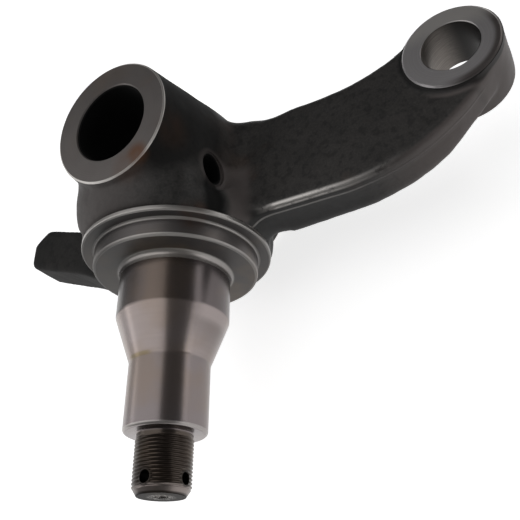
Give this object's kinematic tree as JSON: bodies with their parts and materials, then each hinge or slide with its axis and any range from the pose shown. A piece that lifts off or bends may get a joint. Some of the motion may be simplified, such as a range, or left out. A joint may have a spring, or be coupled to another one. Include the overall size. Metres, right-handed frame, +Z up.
{
  "type": "steering knuckle",
  "caption": "Forged steering knuckle with a leaning kingpin barrel, a stepped and threaded wheel spindle, a steering arm with a tie-rod eye and a stop lug.",
  "frame": {"origin": "where the kingpin axis crosses the spindle axis, at the middle of the kingpin bore", "axes": "+X out along the wheel spindle, +Z up along the tie-rod eye's bore, +Y towards the steering arm"},
  "size_m": [0.1892, 0.2525, 0.1152],
  "materials": {
    "forged_steel": "dark forged skin with plain machined seats"
  },
  "bodies": {
    "root": {"steering_knuckle": "forged_steel"}
  },
  "joints": []
}
